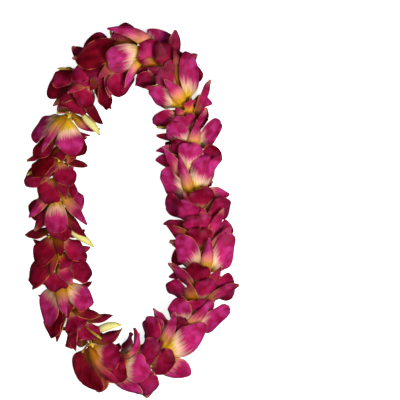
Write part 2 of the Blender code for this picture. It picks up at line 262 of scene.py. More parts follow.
def stations():
    """Places along the string: of every bloom, then of every bud."""
    blooms, buds = [], []
    used = KNOT_ROOM / 2
    for number in range(1, BLOOM_COUNT + 1):
        blooms.append(used + BLOOM_ROOM / 2)
        used += BLOOM_ROOM
        if number in BUD_AFTER:
            buds.append(used + BUD_ROOM / 2)
            used += BUD_ROOM
    return blooms, buds


def drift(place, waves):
    """How the strand's lean changes along it: waves, each of a count round the loop, a height and a phase."""
    return sum(
        height * np.sin(2 * math.pi * count * place / LENGTH + phase) for count, height, phase in waves
    )


def settle(points, half):
    """Holds points to within half of the cup shape that all the blooms share."""
    x, y, w = points.T
    rest = CUP_SLOPE * (np.sqrt(x**2 + y**2 + CUP_BLUNTNESS**2) - CUP_BLUNTNESS)
    return np.column_stack([x, y, rest + half * np.tanh((w - rest) / half)])


def to_world(points, station):
    """Takes strand space, leant forward and pressed flat, round the route to world space."""
    x, y, w = np.transpose(points)
    room = np.where(y > 0, PRESS_ABOVE, PRESS_BELOW)
    pressed = room * np.tanh(y / room)
    place = station + w
    lean = (LEAN + FAN * abs(x) + drift(place, RISE)) * y + drift(place, SWAY) * x
    run = (place + lean + SLIDE * (abs(y) - abs(pressed))) % LENGTH
    ahead_x, ahead_y = (np.interp(run, RUN, AHEAD[:, k]) for k in (0, 1))
    along_x, along_y = (np.interp(run, RUN, POINTS[:, k]) for k in (0, 1))
    height = np.maximum(THREAD_HEIGHT + pressed, PETAL_THICKNESS / 2)
    return np.column_stack([along_x - ahead_y * x, along_y + ahead_x * x, height])


def around(radius, azimuth, sideways, w):
    """Strand-space points at a radius and azimuth, moved sideways round the string."""
    x = radius * math.cos(azimuth) - sideways * math.sin(azimuth)
    y = radius * math.sin(azimuth) + sideways * math.cos(azimuth)
    return np.column_stack(np.broadcast_arrays(x, y, w))


class Bloom:
    """The places of one flower's parts, from the same draws as in the frame."""

    def __init__(self, number, station):
        draw = random.Random(SEED * 1000 + number + 100 * REDRAWN.get(number, 0))
        self.station = station
        self.roll = math.radians(TURNS[number - 1] + draw.uniform(-TURN_DRAW, TURN_DRAW))
        self.size = np.interp(station / LENGTH, *zip(*SIZES), period=1)
        self.short_above = SHORT_ABOVE
        if number in OPEN_BLOOMS:
            self.short_above = SHORT_ABOVE_OPEN
        elif number % BLOOM_COUNT + 1 in OPEN_BLOOMS:
            self.short_above = SHORT_ABOVE_BEHIND
        self.tip = (draw.uniform(-TIP_DRAW, TIP_DRAW), draw.uniform(-TIP_DRAW, TIP_DRAW))
        self.blades = [self.drawn(draw, **blade) for blade in BLADES]

    def azimuth(self, side):
        """The azimuth of the middle of one of the hub's sides."""
        return self.roll + (side + 0.5) * 2 * math.pi / HUB_SIDES

    def drawn(self, draw, kind, side, band, length, width, flare, edge):
        """A blade's own measures."""
        azimuth = self.azimuth(side) + math.radians(draw.uniform(-AZIMUTH_DRAW, AZIMUTH_DRAW))
        length *= self.size * draw.uniform(*LENGTH_SHARES)
        length *= 1 - self.short_above * max(0, math.sin(azimuth)) ** 2
        low, high = (math.radians(angle + draw.uniform(-FLARE_DRAW, FLARE_DRAW)) for angle in flare)
        return dict(
            kind=kind, azimuth=azimuth, length=length, width=width * self.size, low=low, high=high,
            twist=draw.uniform(-TWIST_DRAW, TWIST_DRAW), edge=edge,
            start=band_middle(band, 0), reach=band_middle(band, 1),
        )

    def place(self, points):
        """World places of strand-space points of this bloom."""
        points = np.array(points)
        points[:, 2] += self.tip[0] * points[:, 0] + self.tip[1] * points[:, 1]
        return to_world(settle(points, SLOT_HALF), self.station)


def band_middle(band, item):
    """The middle of a band of the hub: its place along the string, or its radius."""
    return (HUB_RINGS[band][item] + HUB_RINGS[band + 1][item]) / 2


# Flat blanks


def petal_edge(share):
    """Half width of a petal along its length: a narrow claw, broadest past the middle, then a round tip."""
    claw, broadest, beyond = 0.13, 0.58, 0.425
    widening = claw + 0.87 * np.sin(math.pi / 2 * np.minimum(share / broadest, 1)) ** 1.25
    return widening * np.cos(math.pi / 2 * np.clip((share - broadest) / beyond, 0, 1)) ** 0.6


def sepal_edge(share):
    """Half width of a sepal along its length: broadest before the middle, then a long point."""
    base, broadest, beyond = 0.28, 0.42, 0.60
    widening = base + 0.72 * np.sin(math.pi / 2 * np.minimum(share / broadest, 1))
    return widening * np.cos(math.pi / 2 * np.clip((share - broadest) / beyond, 0, 1)) ** 0.85


def lip_edge(share):
    """Half width of a lip along its length: a pair of side lobes, a waist and a round middle lobe."""
    side_lobes = 0.92 * np.exp(-(((share - 0.34) / 0.24) ** 2))
    middle_lobe = 0.82 * np.exp(-(((share - 0.80) / 0.19) ** 2))
    return (side_lobes + middle_lobe) * np.sqrt(np.maximum(1 - share**8, 0.05))


EDGES = {"petal": petal_edge, "sepal": sepal_edge, "lip": lip_edge}


def blade_blank(name, columns, rows, finishes):
    """A flat blank: x is the place across, y the share of the length, rows closer at the tip, z the layer."""
    bpy.ops.mesh.primitive_grid_add(x_subdivisions=columns, y_subdivisions=rows, size=2)
    blank = bpy.context.object
    blank.name = name
    for vertex in blank.data.vertices:
        vertex.co.y = 1 - (1 - (vertex.co.y + 1) / 2) ** TIP_CROWDING
    wall = blank.modifiers.new("wall", "SOLIDIFY")
    wall.thickness = 2
    wall.offset = 0
    bpy.ops.object.modifier_apply(modifier=wall.name)
    bpy.ops.object.shade_smooth()
    for finish in finishes:
        blank.data.materials.append(finish)
    for face in blank.data.polygons:
        face.material_index = 0 if face.normal.z < 0.5 else 1
    blank.data.uv_layers[0].name = "blade"
    return blank


def rod_blank(name, sides, rings, finish):
    """A round rod one unit long and one in radius, closed at both ends and cut into rings."""
    bpy.ops.mesh.primitive_cylinder_add(vertices=sides, radius=1, depth=1, location=(0, 0, 0.5))
    blank = bpy.context.object
    blank.name = name
    bpy.ops.object.transform_apply(location=True)
    bpy.ops.object.mode_set(mode="EDIT")
    bpy.ops.mesh.select_all(action="DESELECT")
    bpy.ops.object.mode_set(mode="OBJECT")
    for edge in blank.data.edges:
        low, high = (blank.data.vertices[end].co.z for end in edge.vertices)
        edge.select = abs(high - low) > 0.5
    bpy.ops.object.mode_set(mode="EDIT")
    bpy.ops.mesh.select_mode(type="EDGE")
    bpy.ops.mesh.subdivide(number_cuts=rings)
    bpy.ops.object.mode_set(mode="OBJECT")
    bpy.ops.object.shade_smooth()
    blank.data.materials.append(finish)
    blank.data.uv_layers[0].name = "blade"
    for corner in blank.data.loops:
        height = blank.data.vertices[corner.vertex_index].co.z
        blank.data.uv_layers[0].data[corner.index].uv[1] = height
    return blank


def ring_blank(name, finish):
    """A ring of one unit's outer radius, for the hub that a flower's parts grow from."""
    bpy.ops.mesh.primitive_torus_add(
        major_segments=24, minor_segments=12, major_radius=1 - RING_WALL, minor_radius=RING_WALL,
    )
    blank = bpy.context.object
    blank.name = name
    bpy.ops.object.shade_smooth()
    blank.data.materials.append(finish)
    blank.data.uv_layers[0].name = "blade"
    return blank


def ring_points(radius, depth):
    """Strand-space points of the ring blank at a radius and half depth."""
    x, y, z = flat_points(BLANKS["hub"])
    return np.column_stack([x * radius, y * radius, z / RING_WALL * depth])


def copied(blank, points):
    """A copy of a blank with its own mesh, its vertices at the given points."""
    piece = blank.copy()
    piece.data = blank.data.copy()
    piece.data.vertices.foreach_set("co", np.asarray(points, dtype=np.float32).ravel())
    bpy.context.scene.collection.objects.link(piece)
    return piece


def flat_points(blank):
    """The blank's own coordinates, one array for each axis."""
    flat = np.empty(len(blank.data.vertices) * 3)
    blank.data.vertices.foreach_get("co", flat)
    return flat.reshape(-1, 3).T


# Blades and rods


def drawn_habit(fine, kind, attempt):
    """One blade's own bends and how slim it is, and the phases of its waves. Later attempts bend less."""
    habit = {name: fine.uniform(*reach) for name, reach in HABITS[kind].items()}
    for name in ("curl", "bend", "fold"):
        habit[name] *= 1 - CALMING * attempt / DRAWS
    habit.update(waves=fine.uniform(*WAVES), phase=fine.uniform(*PHASE), lag=fine.uniform(*LAG))
    return habit


def plain_surface(bloom, blade, habit, across, share):
    """World points of a blade's middle surface at places across, from -1 to 1, and shares of its length."""
    spread = across * EDGES[blade["kind"]](np.clip(share, 0, 1))
    angle = blade["low"] + (blade["high"] - blade["low"]) * share / 2
    radius = blade["reach"] + blade["length"] * share * np.sin(angle)
    w = blade["start"] + blade["length"] * share * np.cos(angle)
    sideways = spread * blade["width"] * habit["slim"] / 2
    w = w + blade["edge"] * spread**2 + blade["twist"] * sideways
    return bloom.place(around(radius, blade["azimuth"], sideways + habit["bend"] * share**2, w))


def facing(surface, across, share):
    """Unit normals of a surface, on the blade's back."""
    toward = surface(across + STEP, share) - surface(across - STEP, share)
    ahead = np.minimum(share + STEP / 2, 1)
    along = surface(across, ahead) - surface(across, ahead - STEP)
    normal = np.cross(toward, along)
    return normal / np.linalg.norm(normal, axis=1)[:, None]


def bent_surface(plain, habit, across, share):
    """The plain surface with its fold along the middle, curled tip, ruffled margin and pleats."""
    spread = across * np.sin(math.pi / 2 * np.clip(share / 0.5, 0, 1))
    lift = habit["fold"] * (np.sqrt(spread**2 + FOLD_ROUNDNESS**2) - FOLD_ROUNDNESS)
    lift = lift + habit["curl"] * share**3
    wave = np.sin(2 * math.pi * habit["waves"] * share + habit["phase"] + habit["lag"] * across)
    lift = lift + habit["ruffle"] * share * np.abs(across) ** 3 * wave
    pleats = np.sin(PLEATS * across + habit["phase"]) * np.sin(math.pi * np.clip(share, 0, 1))
    lift = lift + habit["pleat"] * pleats
    return plain(across, share) - lift[:, None] * facing(plain, across, share)


def bent_blade(bloom, blade, blank, habit):
    """Where the blank's vertices lie along the blade's surface."""
    across, share, layer = flat_points(blank)
    surface = partial(bent_surface, partial(plain_surface, bloom, blade, habit), habit)
    margin = np.maximum(np.abs(across), share) ** 3
    thickness = PETAL_THICKNESS + (MARGIN_THICKNESS - PETAL_THICKNESS) * margin
    points = surface(across, share) + facing(surface, across, share) * (layer * thickness / 2)[:, None]
    below = cad_box[1][2] - CEILING_ROOM
    over = np.maximum(points[:, 2] - below, 0)
    points[:, 2] = np.minimum(points[:, 2], below) + CEILING_ROOM * np.tanh(over / CEILING_ROOM)
    points[:, 2] = np.maximum(points[:, 2], 0)
    return points


def search_tree(shapes):
    """A tree of all the faces in a list of blanks and their vertices' places, to find crossings with."""
    points, faces = [], []
    for blank, places in shapes:
        faces += [[len(points) + corner for corner in face.vertices] for face in blank.data.polygons]
        points += places.tolist()
    return BVHTree.FromPolygons(points, faces)


def bent_blades(bloom, number, others):
    """A bloom's blades, bent so that they cross none of the others, or as little as a few draws allow."""
    fewest = math.inf
    for attempt in range(DRAWS):
        fine = random.Random(number + 1000 * attempt)
        shapes = []
        for blade in bloom.blades:
            blank = BLANKS[blade["kind"]]
            shapes.append((blank, bent_blade(bloom, blade, blank, drawn_habit(fine, blade["kind"], attempt))))
        tree = search_tree(shapes)
        crossings = sum(len(tree.overlap(other)) for other in others)
        if crossings < fewest:
            fewest, best, best_tree = crossings, shapes, tree
        if not crossings:
            break
    others.append(best_tree)
    return best


def along_path(path, shares):
    """Values at shares of the way along a smooth curve through the path's points."""
    path = np.array(path)
    last = len(path) - 1
    place = shares * last
    i = np.minimum(place.astype(int), last - 1)
    f = (place - i)[:, None]
    before, here, after, beyond = (path[np.clip(i + k, 0, last)] for k in (-1, 0, 1, 2))
    bend = 2 * before - 5 * here + 4 * after - beyond
    return here + f / 2 * (after - before + f * (bend + f * (3 * (here - after) + beyond - before)))


def bent_rod(blank, path, azimuth, place):
    """A copy of a rod blank along a path of radius from the string, place along it, and half widths."""
    x, y, share = flat_points(blank)
    shares, ring = np.unique(np.round(share, 6), return_inverse=True)
    radius, w, wide, deep = along_path(path, shares).T
    into_end = np.clip(shares - (1 - ROUND_END), 0, 1) / ROUND_END
    round_end = np.sqrt(np.clip(1 - into_end**2, 0.04, 1))
    centres = place(around(radius, azimuth, 0, w))
    beside = place(around(radius, azimuth, 0.001, w)) - centres
    along = np.gradient(centres, axis=0)
    along /= np.linalg.norm(along, axis=1)[:, None]
    across = beside - along * np.sum(beside * along, axis=1)[:, None]
    across /= np.linalg.norm(across, axis=1)[:, None]
    ahead = np.cross(along, across)
    wide, deep = (wide * round_end)[:, None] * across, (deep * round_end)[:, None] * ahead
    points = centres[ring] + x[:, None] * wide[ring] + y[:, None] * deep[ring]
    points[:, 2] = np.maximum(points[:, 2], 0)
    return copied(blank, points)


def joined(name, pieces):
    """One object from several, with its name."""
    bpy.ops.object.select_all(action="DESELECT")
    for piece in pieces:
        piece.select_set(True)
    bpy.context.view_layer.objects.active = pieces[0]
    bpy.ops.object.join()
    whole = bpy.context.object
    whole.name = name
    whole.data.name = name
    whole.select_set(False)
    return whole


def marked(piece, **values):
    """Stores a number for the whole piece under each name, for its materials to read."""
    for name, value in values.items():
        layer = piece.data.attributes.new(name, "FLOAT", "POINT")
        layer.data.foreach_set("value", np.full(len(piece.data.vertices), value, dtype=np.float32))
    return piece


# Materials


def srgb(code):
    """Linear colour of an sRGB hex code."""
    parts = [int(code[k:k + 2], 16) / 255 for k in (1, 3, 5)]
    return (*[c / 12.92 if c <= 0.04045 else ((c + 0.055) / 1.055) ** 2.4 for c in parts], 1)


def add_node(tree, kind, inputs=None, stops=None, **settings):
    """Adds a node with its settings, its inputs as values or sockets to link from, and a ramp's stops."""
    node = tree.nodes.new(kind)
    for name, value in settings.items():
        setattr(node, name, value)
    for name, value in (inputs or {}).items():
        if isinstance(value, bpy.types.NodeSocket):
            tree.links.new(value, node.inputs[name])
        else:
            node.inputs[name].default_value = value
    if stops:
        ramp = node.color_ramp.elements
        while len(ramp) < len(stops):
            ramp.new(1)
        for element, (place, code) in zip(ramp, stops):
            element.position = place
            element.color = srgb(code)
    return node


def material(name, roughness, **shader_values):
    """A new material with its node tree and its shader."""
    made = bpy.data.materials.new(name)
    made.use_nodes = True
    shader = made.node_tree.nodes["Principled BSDF"]
    shader.inputs["Roughness"].default_value = roughness
    for socket, value in shader_values.items():
        shader.inputs[socket.replace("_", " ")].default_value = value
    return made, made.node_tree, shader


# Streaks side by side on a blade and along it. Across a petal 30 mm wide they lie 1 mm apart, twice as far as
# real veins, so that they show.
STREAKS = (30, 0.8, 0)

# Patches to a metre: blotches of 11 mm on petals, and spots on fleshy parts of 4 mm, coarse so that they show
BLOTCHES = 90.0
SPOTS = 260.0

# How much streaks and blotches lighten and darken a blade
VEIN_DEPTH = 0.88
BLOTCH_DEPTH = 0.9

# The purple flush, lighter than the colour under it, partly the petals' own tint and partly a painted sheen:
# how much of it lies on the pinkest blade, its colour, the shares of the length over which it comes up, and
# the values of the blotches that it comes up between
FLUSH_AND_SHEEN_DEPTH = 0.30
FLUSH_AND_SHEEN = "#C448A0"
FLUSH_AND_SHEEN_RISE = (0.25, 0.60)
FLUSH_AND_SHEEN_PATCH = (0.40, 0.62)

# Painted sheen: how light the colour is on a blade's middle and, as painted shade, on its margin, from this
# far out
PAINTED_SHEEN = (1.12, 0.74)
PAINTED_SHEEN_START = 0.25


def tissue(name, crimson, magenta, rim, rim_reach, streak, roughness=0.40):
    """Thin wet petal tissue under a painted satin sheen: light glows through it red, and it mirrors next to
    nothing.

    Its colours run along the blade from its root, for a redder and a pinker one, up to a paler rim.
    """
    made, tree, shader = material(
        name, roughness, Subsurface_Weight=0.25, Subsurface_Scale=0.003, IOR=1.4, Specular_IOR_Level=0.06,
    )
    shader.inputs["Subsurface Radius"].default_value = (1.0, 0.2, 0.3)
    uv = add_node(tree, "ShaderNodeUVMap", uv_map="blade")
    parts = add_node(tree, "ShaderNodeSeparateXYZ", {0: uv.outputs[0]})
    along = parts.outputs["Y"]
    seed, pink, light, bare = (
        add_node(tree, "ShaderNodeAttribute", attribute_name=kept).outputs["Fac"]
        for kept in ("seed", "magenta", "light", "bare")
    )

    # Streaks fan out from the root, others on each blade, and blotches lie over the whole bloom
    fan = add_node(tree, "ShaderNodeVectorMath", {0: uv.outputs[0], 1: STREAKS}, operation="MULTIPLY")
    shifted = add_node(tree, "ShaderNodeCombineXYZ", {2: seed})
    spot = add_node(tree, "ShaderNodeVectorMath", {0: fan.outputs[0], 1: shifted.outputs[0]}, operation="ADD")
    streaks = add_node(tree, "ShaderNodeTexNoise", {"Vector": spot.outputs[0], "Scale": 1.0, "Detail": 2.0})
    place = add_node(tree, "ShaderNodeTexCoord")
    blotches = add_node(
        tree, "ShaderNodeTexNoise", {"Vector": place.outputs["Object"], "Scale": BLOTCHES, "Detail": 1.0},
    )
    streaky = add_node(tree, "ShaderNodeMath", {0: streaks.outputs[0], 1: 0.5}, operation="SUBTRACT")
    blotchy = add_node(tree, "ShaderNodeMath", {0: blotches.outputs[0], 1: 0.5}, operation="SUBTRACT")

    # From the yellow root the colours run out along the streaks, faster where less of the base is bare
    reach = add_node(
        tree, "ShaderNodeMath", {0: streaky.outputs[0], 1: streak * 4, 2: along}, operation="MULTIPLY_ADD",
    )
    reach = add_node(tree, "ShaderNodeMath", {0: reach.outputs[0], 1: bare}, operation="MULTIPLY")
    red = add_node(tree, "ShaderNodeValToRGB", {0: reach.outputs[0]}, stops=crimson)
    rose = add_node(tree, "ShaderNodeValToRGB", {0: reach.outputs[0]}, stops=magenta)
    colour = add_node(
        tree, "ShaderNodeMix", {0: pink, 6: red.outputs[0], 7: rose.outputs[0]}, data_type="RGBA",
    )

    # A lighter purple flush, partly the petals' own tint and partly a painted sheen, lies over the broad
    # part, in patches, and most on the pinkest blades
    broad = add_node(
        tree, "ShaderNodeMapRange",
        {"Value": along, "From Min": FLUSH_AND_SHEEN_RISE[0], "From Max": FLUSH_AND_SHEEN_RISE[1], "To Max": FLUSH_AND_SHEEN_DEPTH},
    )
    patch = add_node(
        tree, "ShaderNodeMapRange",
        {"Value": blotches.outputs[0], "From Min": FLUSH_AND_SHEEN_PATCH[0], "From Max": FLUSH_AND_SHEEN_PATCH[1]},
    )
    flush_and_sheen = add_node(tree, "ShaderNodeMath", {0: patch.outputs[0], 1: broad.outputs[0]}, operation="MULTIPLY")
    flush_and_sheen = add_node(tree, "ShaderNodeMath", {0: flush_and_sheen.outputs[0], 1: pink}, operation="MULTIPLY")
    with_flush_and_sheen = add_node(
        tree, "ShaderNodeMix", {0: flush_and_sheen.outputs[0], 6: colour.outputs[2], 7: srgb(FLUSH_AND_SHEEN)}, data_type="RGBA",
    )

    # Veins and blotches change how light the colour is, and a painted sheen makes it lighter in a blade's
    # middle and darker, as painted shade, towards its margin and tip
    veined = add_node(
        tree, "ShaderNodeMath", {0: streaky.outputs[0], 1: VEIN_DEPTH, 2: light}, operation="MULTIPLY_ADD",
    )
    mottled = add_node(
        tree, "ShaderNodeMath", {0: blotchy.outputs[0], 1: BLOTCH_DEPTH, 2: veined.outputs[0]},
        operation="MULTIPLY_ADD",
    )
    side = add_node(
        tree, "ShaderNodeMath", {0: parts.outputs["X"], 1: 2.0, 2: -1.0}, operation="MULTIPLY_ADD",
    )
    aside = add_node(tree, "ShaderNodeMath", {0: side.outputs[0]}, operation="ABSOLUTE")
    outer = add_node(tree, "ShaderNodeMath", {0: aside.outputs[0], 1: along}, operation="MAXIMUM")
    painted_sheen = add_node(
        tree, "ShaderNodeMapRange",
        {"Value": outer.outputs[0], "From Min": PAINTED_SHEEN_START, "To Min": PAINTED_SHEEN[0], "To Max": PAINTED_SHEEN[1]},
    )
    lit = add_node(
        tree, "ShaderNodeVectorMath", {0: with_flush_and_sheen.outputs[2], "Scale": mottled.outputs[0]}, operation="SCALE",
    )
    lit = add_node(
        tree, "ShaderNodeVectorMath", {0: lit.outputs[0], "Scale": painted_sheen.outputs[0]}, operation="SCALE",
    )

    # The thin margin is paler, in places more than in others
    uneven = add_node(
        tree, "ShaderNodeMath", {0: blotchy.outputs[0], 1: 0.25, 2: outer.outputs[0]},
        operation="MULTIPLY_ADD",
    )
    edge = add_node(tree, "ShaderNodeMapRange", {"Value": uneven.outputs[0], "From Min": rim_reach})
    rimmed = add_node(
        tree, "ShaderNodeMix", {0: edge.outputs[0], 6: lit.outputs[0], 7: srgb(rim)}, data_type="RGBA",
    )
    tree.links.new(rimmed.outputs[2], shader.inputs["Base Color"])

    # The streaks stand up a little, which breaks up the shine
    bump = add_node(
        tree, "ShaderNodeBump", {"Strength": 0.35, "Distance": 0.0004, "Height": streaks.outputs[0]},
    )
    tree.links.new(bump.outputs[0], shader.inputs["Normal"])
    return made


def grown(name, stops):
    """A fleshy part's smooth skin, which shines a little: colours along its length, broken up by spots."""
    made, tree, shader = material(
        name, 0.45, Subsurface_Weight=0.1, Subsurface_Scale=0.004, IOR=1.4, Specular_IOR_Level=0.4,
    )
    shader.inputs["Subsurface Radius"].default_value = (1.0, 0.6, 0.2)
    uv = add_node(tree, "ShaderNodeUVMap", uv_map="blade")
    parts = add_node(tree, "ShaderNodeSeparateXYZ", {0: uv.outputs[0]})
    place = add_node(tree, "ShaderNodeTexCoord")
    spots = add_node(
        tree, "ShaderNodeTexNoise", {"Vector": place.outputs["Object"], "Scale": SPOTS, "Detail": 2.0},
    )
    spotty = add_node(tree, "ShaderNodeMath", {0: spots.outputs[0], 1: 0.5}, operation="SUBTRACT")
    reach = add_node(
        tree, "ShaderNodeMath", {0: spotty.outputs[0], 1: 0.35, 2: parts.outputs["Y"]},
        operation="MULTIPLY_ADD",
    )
    ramp = add_node(tree, "ShaderNodeValToRGB", {0: reach.outputs[0]}, stops=stops)
    tree.links.new(ramp.outputs[0], shader.inputs["Base Color"])
    bump = add_node(tree, "ShaderNodeBump", {"Strength": 0.2, "Distance": 0.0003, "Height": spots.outputs[0]})
    tree.links.new(bump.outputs[0], shader.inputs["Normal"])
    return made


# The petals' faces carry the colour of the lei: crimson or magenta, round a near-white base and a yellow
# star.
# Like every blade, they carry a painted sheen.
PETAL_FACE = tissue(
    "petal face with painted sheen",
    (
        (0, "#984C0C"), (0.12, "#B87414"), (0.17, "#B05428"), (0.24, "#A43040"), (0.34, "#940C20"),
        (0.70, "#84061A"), (1, "#680410"),
    ),
    (
        (0, "#C89C10"), (0.10, "#E4BC20"), (0.15, "#F0DC88"), (0.19, "#F8F0F8"), (0.28, "#E49CD0"),
        (0.42, "#B83088"), (0.68, "#9C0C4C"), (1, "#78082C"),
    ),
    rim="#A8502C", rim_reach=0.965, streak=0.08,
)

# Their backs are duller and redder, with a tan base
PETAL_BACK = tissue(
    "waxy petal back",
    (
        (0, "#904808"), (0.14, "#B06810"), (0.20, "#9C3C18"), (0.29, "#941220"),
        (0.60, "#84061A"), (1, "#680410"),
    ),
    (
        (0, "#B8880C"), (0.13, "#D4A41C"), (0.19, "#E4B898"), (0.31, "#A81C58"),
        (0.60, "#980E42"), (1, "#780828"),
    ),
    rim="#A8502C", rim_reach=0.965, streak=0.09,
)

# Sepals are plainer, with more gold at the base and a tan tip, under the same painted sheen
SEPAL_FACE = tissue(
    "sepal face with painted sheen",
    (
        (0, "#84400A"), (0.14, "#A05810"), (0.25, "#9C3C24"), (0.36, "#941A30"),
        (0.85, "#84102A"), (1, "#A05040"),
    ),
    (
        (0, "#B08410"), (0.13, "#CC9C20"), (0.21, "#F0D4B8"), (0.34, "#BC3078"),
        (0.85, "#A01050"), (1, "#B86870"),
    ),
    rim="#C08840", rim_reach=0.965, streak=0.13,
)
SEPAL_BACK = tissue(
    "waxy sepal back",
    (
        (0, "#80380A"), (0.16, "#985010"), (0.27, "#8C341C"), (0.38, "#881228"),
        (0.85, "#7A0C22"), (1, "#985030"),
    ),
    (
        (0, "#A87010"), (0.17, "#C48C1C"), (0.28, "#CC7468"), (0.38, "#A01850"),
        (0.85, "#900E40"), (1, "#B06860"),
    ),
    rim="#C08840", rim_reach=0.965, streak=0.13,
)

# The lip is the darkest and dullest, like velvet, with gold deep in the throat
LIP_TISSUE = tissue(
    "velvety lip",
    ((0, "#A06008"), (0.27, "#B87C10"), (0.42, "#A02428"), (0.7, "#780420"), (1, "#8C0C30")),
    ((0, "#C08C10"), (0.27, "#D8A41C"), (0.42, "#B83058"), (0.7, "#8C063C"), (1, "#A01850")),
    rim="#C05850", rim_reach=0.90, streak=0.14, roughness=0.6,
)

# The fleshy parts are green-gold to cream and shine a little beside the petals
HUB = grown("green-yellow receptacle", ((0, "#B88420"), (0.5, "#C8A438"), (1, "#A86C18")))
STALK_TISSUE = grown(
    "fleshy flower stalk",
    ((0, "#A07020"), (0.2, "#7C2414"), (0.66, "#842C18"), (0.84, "#9C7C24"), (1, "#B0A040")),
)
CHIN_TISSUE = grown("spur behind the lip", ((0, "#C09020"), (0.5, "#C88A28"), (1, "#A84830")))
SHRED_TISSUE = grown(
    "torn yellow throat", ((0, "#C89C20"), (0.5, "#B47C18"), (0.8, "#A05418"), (1, "#7C3010")),
)
COLUMN_TISSUE = grown("waxy column", ((0, "#D8C880"), (0.6, "#E8DCC0"), (1, "#E0C8D0")))
BUD_TISSUE = grown(
    "waxy green-white bud",
    ((0, "#C0A838"), (0.35, "#D8CC84"), (0.8, "#D4CC78"), (0.93, "#B0A040"), (1, "#6C5020")),
)


def cotton():
    """Twisted cotton string: a soft, fuzzy off-white that shines nowhere, with its twist as bump."""
    made, tree, shader = material("twisted cotton string", 0.9, Sheen_Weight=0.3)
    shader.inputs["Base Color"].default_value = srgb("#E4DFD2")
    place = add_node(tree, "ShaderNodeTexCoord")

    # A ridge of this wave is 0.314 m long at a scale of 1, so these are 2 mm apart, as in soft string
    twist = add_node(
        tree, "ShaderNodeTexWave", {"Vector": place.outputs["Object"], "Scale": 160.0, "Distortion": 2.0},
    )
    bump = add_node(tree, "ShaderNodeBump", {"Strength": 0.5, "Distance": 0.0003, "Height": twist.outputs[0]})
    tree.links.new(bump.outputs[0], shader.inputs["Normal"])
    return made


COTTON = cotton()

# Blades have faces across and along, rods have sides and rings
BLANKS = {
    "petal": blade_blank("petal", 21, 24, (PETAL_FACE, PETAL_BACK)),
    "sepal": blade_blank("sepal", 11, 20, (SEPAL_FACE, SEPAL_BACK)),
    "lip": blade_blank("lip", 15, 20, (LIP_TISSUE, LIP_TISSUE)),
    "stalk": rod_blank("stalk", 12, 14, STALK_TISSUE),
    "chin": rod_blank("chin", 12, 10, CHIN_TISSUE),
    "column": rod_blank("column", 12, 10, COLUMN_TISSUE),
    "bud": rod_blank("bud", 20, 30, BUD_TISSUE),
    "shred": rod_blank("shred", 8, 8, SHRED_TISSUE),
    "hub": ring_blank("hub", HUB),
}


# The lei is crimson at its left and pinker at its right: how pink a bloom is in the middle, the width over
# which that goes from none to all, and how much it differs by bloom. Then how much of it a part takes, how
# much pinker a part is that is lighter than this, and how much it differs by part.
PINK_MIDDLE, PINK_WIDTH, PINK_DRAW = 0.42, 0.30, 0.15
PINK_SHARE, PINK_BY_LIGHT, PLAIN_LIGHT, PART_DRAW = 0.6, 0.9, 0.7, 0.1

# The looks of the blooms that lie open and of the others: how much pinker the bloom and each of its parts
# are, how light a part is, how fast its colours run out from its base, which is longer when they run slower,
# and the share of sepals and lips that turn golden, at the left and at the right of the lei
OPEN_LOOK = dict(pinker=0.2, parts_pinker=0.4, light=(0.85, 1.12), bare=(0.7, 0.9), golden=(0, 0))
OTHER_LOOK = dict(pinker=0, parts_pinker=0, light=(0.6, 1.1), bare=(0.9, 1.4), golden=(0.25, 0.50))

# What a golden blade keeps of how fast its colours run and of how pink it is
GOLDEN_BARE, GOLDEN_PINK = 0.55, 0.4

# The streaks of each part are cut from the same noise, up to this far along it
SEED_REACH = 50


def shred_path(fine):
    """The path of a torn, flat shred out of the throat, which ends in a point."""
    length, lift = fine.uniform(*SHRED_LENGTHS), fine.uniform(*SHRED_LIFTS)
    tip = fine.uniform(*SHRED_TIPS)
    radius, w = THROAT
    return [
        SHRED_ROOT,
        (radius + 0.35 * length, w + 0.5 * lift * length, 0.0012, 0.0004),
        (radius + 0.7 * length, w + lift * length, 0.0008, 0.0004),
        (radius + length, w + tip * length, 0.0003, 0.0003),
    ]


